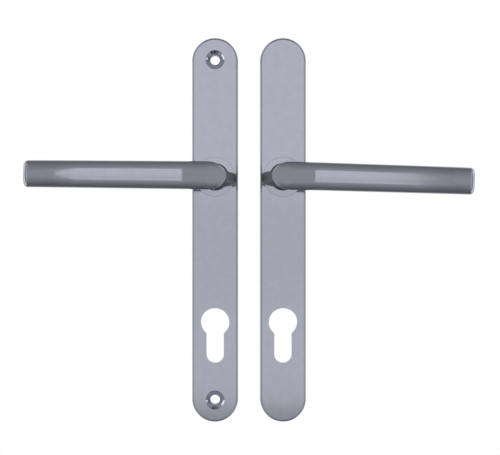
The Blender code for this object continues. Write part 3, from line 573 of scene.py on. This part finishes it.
def round_boss(radius, back, front, at, edge=0.3):
    """A boss with an eased back edge."""
    return turned(
        [(0, back), (radius - edge, back), (radius, back + edge), (radius, front), (0, front)], at
    )


def threaded_hole(radius, depth, back, at, pitch=0.8, crest=0.28):
    """A cutter whose sides are ridged like a tapped hole."""
    profile = [(0, back), (radius + crest, back)]
    turns = int((depth - back) / pitch)
    for i in range(turns):
        out = back + (i + 0.5) * pitch
        profile += [(radius + crest, out), (radius, out + pitch / 2)]
    profile += [(radius, depth), (0, depth + radius / 2)]
    return turned(profile, at, steps=32)


def plate_parts():
    """What is joined to the tray, and what is cut from it, on both handles."""
    foot = FACE_BACK + 1
    edge = [
        (
            COLLAR_RADIUS - COLLAR_EDGE * (1 - math.cos(a)),
            COLLAR_RIM - COLLAR_EDGE * (1 - math.sin(a)),
        )
        for a in (QUARTER * i / 6 for i in range(7))
    ]
    collar = [(0, foot), (COLLAR_RADIUS, foot), *edge, (8.5, COLLAR_TOP), (0, COLLAR_TOP)]
    wall = euro_face(OPENING_WALL, RIB_BACK)
    pulled(wall, foot)
    joined = [*ribs(), turned(collar, steps=128), wall]
    joined += [round_boss(CASSETTE_BOSS, 7.7, foot, (0, z)) for z in CASSETTE_HEIGHTS]
    past = COLLAR_TOP + 0.2
    bore = [
        (0, -1), (BUSH_SEAT, -1), (BUSH_SEAT, 11.0), (COLLAR_HOLE, 11.0), (COLLAR_HOLE, 12.0),
        (8.6, past), (0, past),
    ]
    opening = euro_face(0, -2)
    pulled(opening, PLATE_DEPTH + 3)
    pilot = [(0, 5), (SCREW_HOLE, 5), (SCREW_HOLE, 9.6), (0, 10.2)]
    cut = [turned(bore, steps=128), opening]
    cut += [turned(pilot, (0, z), 32) for z in CASSETTE_HEIGHTS]
    return joined, cut


def backplate(handle):
    """The inside plate has countersunk holes, and the outside plate blind tapped lugs."""
    joined, cut = plate_parts()
    sink = [
        (0, -1), (FIXING_HOLE, -1), (FIXING_HOLE, SINK_BACK), (SINK_RADIUS, PLATE_DEPTH),
        (SINK_RADIUS + 0.2, PLATE_DEPTH + 0.2), (0, PLATE_DEPTH + 0.2),
    ]
    for z in FIXING_HEIGHTS:
        if handle == "inside":
            joined.append(round_boss(FIXING_BOSS, 0, FACE_BACK + 1, (0, z)))
            cut.append(turned(sink, (0, z)))
        else:
            joined.append(round_boss(LUG_RADIUS, LUG_BACK, FACE_BACK + 1, (0, z), edge=0.6))
            cut.append(threaded_hole(LUG_THREAD, 8.0, LUG_BACK - 0.5, (0, z)))
    bm = combined(tray(), joined, cut)

    def rim(co):
        """On the edge of a hole in the face, but not of the collar."""
        on_face = co.y < -PLATE_DEPTH + 0.02
        return on_face and abs(co.x) < 9.5 and (co.z < OPENING_CENTRE + 10 or co.z > PLATE_TOP - 8)

    eased(bm, 0.08, 2, where=rim)
    for face in bm.faces:
        inner = face.calc_center_median()
        spread = from_spine(inner).length
        face.material_index = int(inner.y > -FACE_BACK - 0.1 and spread < PLATE_HALF_WIDTH - 0.5)
    finish = (FINISH["chrome"], FINISH["cast"])
    return on_handle("backplate", handle, bm, finish)


# ---------------------------------------------------------------- levers


def ramp(distance, width):
    """0 well before a knee and rising one for one after it, rounded over the width."""
    return (distance + math.hypot(distance, width)) / 2


def face_out(x):
    """How far the grip's face stands from the door. It falls back at the knee and at the tip."""
    return (
        PROJECTION
        - KNEE_SLOPE * ramp(KNEE - x, KNEE_BLEND)
        - FALL_SLOPE * ramp(x - FALL, FALL_BLEND)
    )


def mix(a, b, share):
    return a + (b - a) * min(1.0, max(0.0, share))


def rounded(angle, half_width, half_height, squareness):
    """A point of a superellipse."""
    c, s = math.cos(angle), math.sin(angle)
    return (
        math.copysign(abs(c) ** (2 / squareness), c) * half_width,
        math.copysign(abs(s) ** (2 / squareness), s) * half_height,
    )


def grip_point(station, k):
    """Point k of the grip's section: a crowned face and a fuller back."""
    x, half_height, inset = station
    along = (x - NOSE) / NOSE_LENGTH
    to_tip = (x - ROUNDS_FROM) / (ROUNDS_TO - ROUNDS_FROM)
    squareness = mix(mix(NOSE_SQUARE, BAR_SQUARE, along), TIP_SQUARE, to_tip)
    depth = mix(NOSE_CROWN_DEPTH, CROWN_DEPTH, along)
    thickness = mix(NOSE_THICKNESS, THICKNESS, along)
    middle_out = face_out(x) - depth
    angle = math.tau * k / GRIP_STEPS
    if math.sin(angle) >= 0:
        z, out = rounded(angle, half_height, depth - inset, squareness)
    else:
        z, out = rounded(angle, half_height, thickness - depth - inset, BACK_SQUARE)
    return x, -(middle_out + out), z


def grip():
    """Sections as (across, half height, inset): round nose, long bar, rounded tip."""
    stations = []
    for i in range(NOSE_SECTIONS):
        angle = QUARTER * (i + 0.5) / NOSE_SECTIONS
        across = NOSE + NOSE_LENGTH * (1 - math.cos(angle))
        stations.append((across, HALF_HEIGHT * math.sin(angle), 0))
    start, end = NOSE + NOSE_LENGTH, REACH - TIP_RADIUS
    x = start
    while x < end - 0.5:
        share = (x - start) / (end - start)
        stations.append((x, mix(HALF_HEIGHT, TIP_HALF_HEIGHT, share), 0))
        x += 0.4 if abs(x - KNEE) < KNEE_REACH else 2.0
    for i in range(10):
        angle = QUARTER * i / 9
        inset = TIP_RADIUS * (1 - math.cos(angle))
        stations.append((end + TIP_RADIUS * math.sin(angle), TIP_HALF_HEIGHT - inset, inset))
    return swept(stations, GRIP_STEPS, grip_point)


def smooth_between(values, place):
    """Passes a smooth curve through the rows of values; place counts rows."""
    i = min(int(place), len(values) - 2)
    t = place - i
    rows = [Vector(values[min(max(j, 0), len(values) - 1)]) for j in range(i - 1, i + 3)]
    a, b, c, d = rows
    return b + 0.5 * t * (c - a + t * (2 * a - 5 * b + 4 * c - d + t * (3 * (b - c) + d - a)))


def neck_point(place, k):
    """Point k of the neck's rounded section, square to its centre line."""
    x, out, up, half_width, half_height = smooth_between(NECK, place)
    step = 0.05
    before = smooth_between(NECK, max(0.0, place - step))
    after = smooth_between(NECK, min(len(NECK) - 1.0, place + step))
    bend = min(1.0, place)
    along = Vector((after[0] - before[0], after[1] - before[1])).normalized()
    along = Vector((0, 1)).lerp(along, bend).normalized()
    squareness = mix(FOOT_SQUARE, NECK_SQUARE, place / 4)
    side, z = rounded(math.tau * k / NECK_STEPS, half_width, half_height, squareness)
    return x - along.y * side, -(out + along.x * side), up + z


def lever(handle):
    """Grip, neck and hub in one, with the spindle's socket and the flats that turn the driver."""
    places = [i / NECK_SECTIONS for i in range(NECK_SECTIONS * (len(NECK) - 1) + 1)]
    neck = swept(places, NECK_STEPS, neck_point)
    # the neck takes the finish whose darker colour is painted shade
    for face in neck.faces:
        face.material_index = 1
    profile = [
        (0, -2.0), (TAIL_RADIUS, -2.0), (TAIL_RADIUS, -1.2), (CLIP_GROOVE, -1.2),
        (CLIP_GROOVE, 0.2), (TAIL_RADIUS, 0.2), (TAIL_RADIUS, 7.7), (HUB_RADIUS, 7.7),
        (HUB_RADIUS, NECK_FOOT + 0.3), (0, NECK_FOOT + 0.3),
    ]
    hub = eased(turned(profile), 0.2, 2, where=lambda co: co.y > -1)
    socket = block((-SOCKET_HALF, SOCKET_HALF), (-4.0, 20.0), (-SOCKET_HALF, SOCKET_HALF))
    flats = [block(sorted((s * TAIL_FLAT, s * 14)), (-4.0, 2.8), (-8, 8)) for s in (1, -1)]
    cut = [socket, *flats]
    if handle == "inside":
        cut.append(upright(threaded_hole(1.95, 3.8, -9.0, (0, 0), pitch=0.7, crest=0.3)))
    bm = combined(grip(), [neck, hub], cut)
    finish = (FINISH["chrome"], FINISH["neck_shade"])
    return on_handle("lever", handle, bm, finish, turns=True)


def upright(bm):
    """Stands a part made along the spindle direction below the spindle, pointing down."""
    bmesh.ops.rotate(bm, matrix=Matrix.Rotation(QUARTER, 3, "X"), verts=bm.verts)
    bmesh.ops.translate(bm, vec=(0, -GRUB_OUT, -SOCKET_HALF), verts=bm.verts)
    return bm


# ---------------------------------------------------------------- bearing and spring cassette


def sector(inner, outer, back, front, start, angle, steps):
    """A part of a flat ring, from an angle to the left of straight across."""
    bm = bmesh.new()
    corners = ((inner, back), (outer, back), (outer, front), (inner, front))
    face = bm.faces.new([bm.verts.new((radius, -out, 0)) for radius, out in corners])
    bmesh.ops.spin(bm, geom=[face], cent=(0, 0, 0), axis=(0, -1, 0), angle=angle, steps=steps)
    bmesh.ops.rotate(bm, matrix=Matrix.Rotation(-start, 3, "Y"), verts=bm.verts)
    return bm


def bearing_bush(handle):
    """Flanged bush that the hub turns in."""
    profile = [(8.1, 7.7), (11.2, 7.7), (11.2, 8.7), (9.3, 8.7), (9.3, 10.7), (8.1, 10.7)]
    bm = eased(turned(profile), 0.2, 2)
    return on_handle("bearing_bush", handle, bm, FINISH["black"])


def spring_housing(handle):
    """Cup round the spring, with two screw ears and a window that stops the driver's lug."""
    cup = turned([(8.1, 7.4), (8.1, 6.6), (10.95, 6.6), (10.95, 1.3), (11.85, 1.3), (11.85, 7.4)])
    joined, cut = [], []
    for z in CASSETTE_HEIGHTS:
        sign = math.copysign(1, z)
        joined.append(block((-1.3, 1.3), (3.4, 7.1), sorted((sign * 11.3, z))))
        joined.append(round_boss(CASSETTE_BOSS, 3.1, 7.4, (0, z)))
        hole = [(0, 0), (SCREW_HOLE, 0), (SCREW_HOLE, 11), (0, 11)]
        cut.append(turned(hole, (0, z), 32))
    start = QUARTER - WINDOW_HALF_ANGLE
    cut.append(sector(10.6, 12.2, 0, 2.8, start, 2 * WINDOW_HALF_ANGLE, 32))
    bm = combined(cup, joined, cut)
    return on_handle("spring_housing", handle, bm, FINISH["white"])


def driver(handle):
    """Flanged sleeve with a lug that meets the window's ends and keys for the hub's flats."""
    profile = [(7.7, 1.3), (10.65, 1.3), (10.65, 2.5), (8.7, 2.5), (8.7, 6.3), (7.7, 6.3)]
    disc = eased(turned(profile), 0.15, 2)
    start = QUARTER - LUG_HALF_ANGLE
    lug = eased(sector(9.9, 11.85, 1.3, 2.5, start, 2 * LUG_HALF_ANGLE, 12), 0.15, 2)
    keys = [block(sorted((s * 6.8, s * 8.0)), (1.3, 2.5), (-2.4, 2.4)) for s in (1, -1)]
    bm = combined(disc, [lug, *keys])
    return on_handle("driver", handle, bm, FINISH["bare"], turns=True)


def wire_end(bm, at, across, along):
    """A disc of the spring's wire, square to its heading."""
    ring = bmesh.ops.create_circle(bm, cap_ends=True, segments=16, radius=WIRE_RADIUS)["verts"]
    turn = Matrix((across, along.cross(across), along)).transposed().to_4x4()
    bmesh.ops.transform(bm, matrix=Matrix.Translation(at) @ turn, verts=ring)
    return list({face for vert in ring for face in vert.link_faces})


def spun(bm, faces, centre, axis, angle, steps, shift=(0, 0, 0)):
    """Sweeps the wire's end on round an axis, and gives the new end."""
    got = bmesh.ops.spin(
        bm, geom=faces, cent=centre, axis=axis, angle=angle, steps=steps, dvec=shift
    )
    return newest(got["geom_last"], bmesh.types.BMFace)


def return_spring(handle):
    """Torsion spring: the back leg stands in the driver's notch, the front leg in the housing."""
    bend, leg, back, front = 1.1, 1.3, 3.25, 5.85
    start = math.radians(-60) - SIDES[handle] * REST[handle]
    turns = math.radians(-60) + COIL_TURNS * math.tau - start
    out_of_coil = Vector((math.cos(start), 0, math.sin(start)))
    heading = Vector((-math.sin(start), 0, math.cos(start)))
    bm = bmesh.new()
    at = out_of_coil * COIL_RADIUS - heading * bend + Vector((0, bend - back, 0))
    foot = at + Vector((0, back - bend - leg, 0))
    end = wire_end(bm, foot, out_of_coil, Vector((0, -1, 0)))
    got = bmesh.ops.extrude_face_region(bm, geom=end)["geom"]
    bmesh.ops.translate(
        bm, vec=(0, leg + bend - back, 0), verts=newest(got, bmesh.types.BMVert)
    )
    end = newest(got, bmesh.types.BMFace)
    end = spun(bm, end, at + heading * bend, out_of_coil, QUARTER, 6)
    steps = 180
    shift = (0, (back - front) / steps, 0)
    end = spun(bm, end, (0, 0, 0), (0, -1, 0), turns, steps, shift=shift)
    last = start + turns
    out_of_coil = Vector((math.cos(last), 0, math.sin(last)))
    pivot = out_of_coil * COIL_RADIUS + Vector((0, -front - bend, 0))
    end = spun(bm, end, pivot, out_of_coil, -QUARTER, 6)
    got = bmesh.ops.extrude_face_region(bm, geom=end)["geom"]
    bmesh.ops.translate(
        bm, vec=(0, front + bend - 7.4, 0), verts=newest(got, bmesh.types.BMVert)
    )
    piece = on_handle("return_spring", handle, bm, FINISH["spring"], rides=False)
    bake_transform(piece)
    return piece


def cassette_cover(handle):
    """Pressed steel plate with stepped ends, rounded corners and eased edges."""
    bm = bmesh.new()
    half = [(12.65, 0.2), (14.45, 2.0), (24.5, 2.0), (24.5, 2.8), (14.05, 2.8), (12.25, 1.0)]
    outline = half + [(-z, out) for z, out in reversed(half)]
    face = bm.faces.new([bm.verts.new((-12.2, -out, z)) for z, out in outline])
    got = bmesh.ops.extrude_face_region(bm, geom=[face])["geom"]
    bmesh.ops.translate(bm, vec=(24.4, 0, 0), verts=newest(got, bmesh.types.BMVert))
    corners = [
        e for e in bm.edges if abs(middle(e).z) > 24.4 and abs(middle(e).x) > 12.1
        and abs(e.verts[0].co.y - e.verts[1].co.y) > 0.5
    ]
    bmesh.ops.bevel(
        bm, geom=corners, offset=2.5, segments=8, profile=0.5, affect="EDGES", material=-1
    )
    eased(bm, 0.15, 2, least=50)
    holes = [turned([(0, -2), (7.7, -2), (7.7, 5), (0, 5)])]
    hole = [(0, -2), (SCREW_HOLE, -2), (SCREW_HOLE, 5), (0, 5)]
    holes += [turned(hole, (0, z), 32) for z in CASSETTE_HEIGHTS]
    bm = combined(bm, cut=holes)

    def rim(co):
        screw = abs(abs(co.z) - CASSETTE_HEIGHTS[0])
        return math.hypot(co.x, co.z) < 8 or screw < 2

    eased(bm, 0.12, 2, where=rim, least=60)
    return on_handle("cassette_cover", handle, bm, FINISH["zinc"])


def cassette_screw(handle, where, z):
    """Pan head with a cross recess over a threaded shank."""
    radius, front, back = 2.7, 1.7, 0.2
    rise, shank, narrowing = front - 0.35, 1.3, 0.6
    dome = [
        (radius * math.sin(a), rise - (rise - back) * math.cos(a))
        for a in (QUARTER * i / 8 for i in range(9))
    ]
    thread = [(1.05 + 0.25 * (i % 2), front + 0.6 + 0.3 * i) for i in range(23)]
    neck = [(radius, front), (shank, front), (shank, front + 0.4)]
    bm = turned([*dome, *neck, *thread, (0.9, 9.1), (0, 9.6)], (0, z), 48)
    arms = []
    for wide, tall in ((1.55, 0.3), (0.3, 1.55)):
        arm = block((-wide, wide), (-0.5, 1.0), (z - tall, z + tall))
        for vert in [v for v in arm.verts if v.co.y < -0.5]:
            vert.co.x *= narrowing
            vert.co.z = z + (vert.co.z - z) * narrowing
        arms.append(arm)
    bm = combined(bm, cut=arms)
    return on_handle(f"cassette_screw_{where}", handle, bm, FINISH["zinc"])


def retaining_clip(handle):
    """Circlip: an open ring with its gap at the bottom and a plier hole at each end."""
    inner, outer = 7.0, 9.6
    gap = math.radians(32)
    bm = sector(inner, outer, -0.9, -0.1, -QUARTER + gap, math.tau - 2 * gap, 96)
    eased(bm, 0.12, 2, least=60)
    holes = []
    middle_radius = (inner + outer) / 2
    for side in (1, -1):
        angle = -QUARTER + side * (gap + math.radians(9))
        at = (middle_radius * math.cos(angle), middle_radius * math.sin(angle))
        holes.append(turned([(0, -3), (0.7, -3), (0.7, 3), (0, 3)], at, 24))
    bm = combined(bm, cut=holes)
    return on_handle("retaining_clip", handle, bm, FINISH["spring"], turns=True)


def spindle():
    """Drawn square bar with rounded long edges and chamfered ends."""
    bm = block((-SPINDLE_HALF, SPINDLE_HALF), (-92.3, 19.7), (-SPINDLE_HALF, SPINDLE_HALF))
    long_edges = [e for e in bm.edges if abs(e.verts[0].co.y - e.verts[1].co.y) > 1]
    bmesh.ops.bevel(
        bm, geom=long_edges, offset=0.6, segments=5, profile=0.5, affect="EDGES", material=-1
    )
    eased(bm, 0.7, 1, where=lambda co: co.y > 90 or co.y < -19, least=60)
    return on_handle("spindle", "outside", bm, FINISH["zinc"], turns=True)


def grub_screw():
    """Socket head grub screw, clamping the spindle from below."""
    body = turned([(0, 0), (1.2, 0), (1.9, 0.6), (1.9, 2.7), (1.5, 3.0), (0, 3.0)], steps=48)
    key = turned([(0, 1.6), (1.15, 1.8), (1.15, 4), (0, 4)], steps=6)
    bm = upright(combined(body, cut=[key]))
    return on_handle("grub_screw", "inside", bm, FINISH["steel"], turns=True)


def handles():
    for handle in SIDES:
        backplate(handle)
        lever(handle)
        bearing_bush(handle)
        spring_housing(handle)
        driver(handle)
        return_spring(handle)
        cassette_cover(handle)
        for where, z in zip(("upper", "lower"), CASSETTE_HEIGHTS):
            cassette_screw(handle, where, z)
        retaining_clip(handle)
    spindle()
    grub_screw()


FINISH = {
    "chrome": polished_chrome(),
    "cast": cast_back(),
    "neck_shade": painted_shade_neck_chrome(),
    "bare": bare_casting(),
    "zinc": zinc_plate(),
    "spring": spring_wire(),
    "steel": machined_steel(),
    "black": moulded_nylon("moulded nylon, black", "#17181A", "#202123"),
    "white": moulded_nylon("moulded nylon, natural", "#DAD8D0", "#E6E4DC"),
}
handles()


# ---------------------------------------------------------------- studio


def shown(name, bm, material):
    """A piece of the studio, which isn't part of the handles."""
    mesh = bpy.data.meshes.new(name)
    bm.to_mesh(mesh)
    bm.free()
    mesh.materials.append(material)
    obj = bpy.data.objects.new(name, mesh)
    bpy.context.scene.collection.objects.link(obj)
    return obj


def ramped(tree, value, stops):
    """A ramp through (place, level) stops, between -1 and 1."""
    limits = {"Value": value, "From Min": -1.0, "From Max": 1.0}
    share = add(tree, "ShaderNodeMapRange", limits).outputs["Result"]
    levels = add(tree, "ShaderNodeValToRGB", {"Fac": share})
    elements = levels.color_ramp.elements
    while len(elements) < len(stops):
        elements.new(0.5)
    for element, (place, level) in zip(elements, stops):
        element.position = (place + 1) / 2
        element.color = (level, level, level, 1)
    return levels.outputs["Color"]


def times(tree, a, b):
    return add(tree, "ShaderNodeMath", {0: a, 1: b}, operation="MULTIPLY").outputs["Value"]


def camera():
    lens = bpy.data.cameras.new("camera")
    lens.sensor_width = 36
    lens.lens = LENS
    lens.clip_start = 0.01
    eye = bpy.data.objects.new("camera", lens)
    eye.location = EYE
    eye.rotation_euler = (QUARTER, 0, 0)
    bpy.context.scene.collection.objects.link(eye)
    bpy.context.scene.camera = eye


def floor():
    """A pale matt table top. To the camera it looks as bright as it would in a white room."""
    material, tree = blank("pale floor")
    seen = add(tree, "ShaderNodeLightPath", {}).outputs["Is Camera Ray"]
    matt = add(tree, "ShaderNodeBsdfDiffuse", {"Color": linear("#F0F0F0")})
    strength = times(tree, seen, 0.5)
    glow = add(tree, "ShaderNodeEmission", {"Color": (1, 1, 1, 1), "Strength": strength})
    both = add(tree, "ShaderNodeAddShader", {0: matt.outputs[0], 1: glow.outputs[0]})
    add(tree, "ShaderNodeOutputMaterial", {"Surface": both.outputs[0]})
    bm = bmesh.new()
    bmesh.ops.create_grid(bm, x_segments=1, y_segments=1, size=0.76)
    bmesh.ops.translate(bm, vec=(0, 0, FLOOR_HEIGHT), verts=bm.verts)
    shown("floor", bm, material).visible_glossy = False


def softbox():
    """One wide softbox behind the camera, a little weaker to the right and below its middle."""
    material, tree = blank("softbox cloth")
    coordinates = add(tree, "ShaderNodeTexCoord", {}).outputs["Object"]
    axes = add(tree, "ShaderNodeSeparateXYZ", {"Vector": coordinates})
    level = times(
        tree,
        ramped(tree, axes.outputs["X"], ((0.18, 1.0), (0.21, 0.88), (0.245, 0.6))),
        ramped(
            tree, axes.outputs["Z"], ((-0.16, 0.93), (-0.12, 0.88), (-0.01, 0.88), (0.04, 1.0))
        ),
    )
    glow = add(tree, "ShaderNodeEmission", {"Color": (1, 1, 1, 1), "Strength": level})
    add(tree, "ShaderNodeOutputMaterial", {"Surface": glow.outputs[0]})
    bm = block(
        (SOFTBOX["left"], SOFTBOX["right"]),
        (SOFTBOX["out"], SOFTBOX["out"] + 0.001),
        (SOFTBOX["bottom"], SOFTBOX["top"]),
    )
    corners = [e for e in bm.edges if abs(e.verts[0].co.y - e.verts[1].co.y) > 1e-4]
    bmesh.ops.bevel(
        bm, geom=corners, offset=0.06, segments=8, profile=0.5, affect="EDGES", material=-1
    )
    shown("softbox", bm, material).visible_camera = False


def side_cards():
    """Tall white cards at both sides, level with the plates, which light the far rims of holes."""
    material, tree = blank("white card")
    glow = add(tree, "ShaderNodeEmission", {"Color": (1, 1, 1, 1), "Strength": 2.0})
    add(tree, "ShaderNodeOutputMaterial", {"Surface": glow.outputs[0]})
    for side in (1, -1):
        aside = sorted((side * CARD_ASIDE, side * (CARD_ASIDE + 0.001)))
        bm = block(aside, (0.014, 0.042), (-0.16, 0.09))
        shown("side card", bm, material).visible_camera = False


def surroundings():
    """White to the camera. Round the handles it is grey and a little darker downwards, which
    draws the outlines of polished metal. It is lighter to the sides and behind."""
    world = bpy.data.worlds.new("studio")
    world.use_nodes = True
    bpy.context.scene.world = world
    tree = world.node_tree
    tree.nodes.clear()
    direction = add(tree, "ShaderNodeTexCoord", {}).outputs["Generated"]
    axes = add(tree, "ShaderNodeSeparateXYZ", {"Vector": direction})
    aside = add(tree, "ShaderNodeMath", {0: axes.outputs["X"]}, operation="ABSOLUTE").outputs[0]
    grey = times(
        tree,
        ramped(
            tree,
            axes.outputs["Y"],
            (
                (-0.95, 0.54), (-0.86, 0.43), (-0.70, 0.38), (-0.36, 0.32), (0.1, 0.27),
                (0.4, 0.35), (0.8, 0.9),
            ),
        ),
        ramped(tree, axes.outputs["Z"], ((-1.0, 0.66), (-0.2, 0.98), (0.3, 1.0), (0.9, 0.95))),
    )
    lighter = ramped(tree, aside, ((0.3, 0.0), (0.42, 0.05), (0.52, 0.3), (0.75, 0.3), (1.0, 0.1)))
    level = add(tree, "ShaderNodeMath", {0: grey, 1: lighter}).outputs[0]
    around = add(tree, "ShaderNodeBackground", {"Color": (1, 1, 1, 1), "Strength": level})
    white = add(tree, "ShaderNodeBackground", {"Color": (1, 1, 1, 1)})
    seen = add(tree, "ShaderNodeLightPath", {}).outputs["Is Camera Ray"]
    both = add(tree, "ShaderNodeMixShader", {0: seen, 1: around.outputs[0], 2: white.outputs[0]})
    add(tree, "ShaderNodeOutputWorld", {"Surface": both.outputs[0]})


bpy.context.scene.view_settings.view_transform = "Standard"
camera()
floor()
softbox()
side_cards()
surroundings()
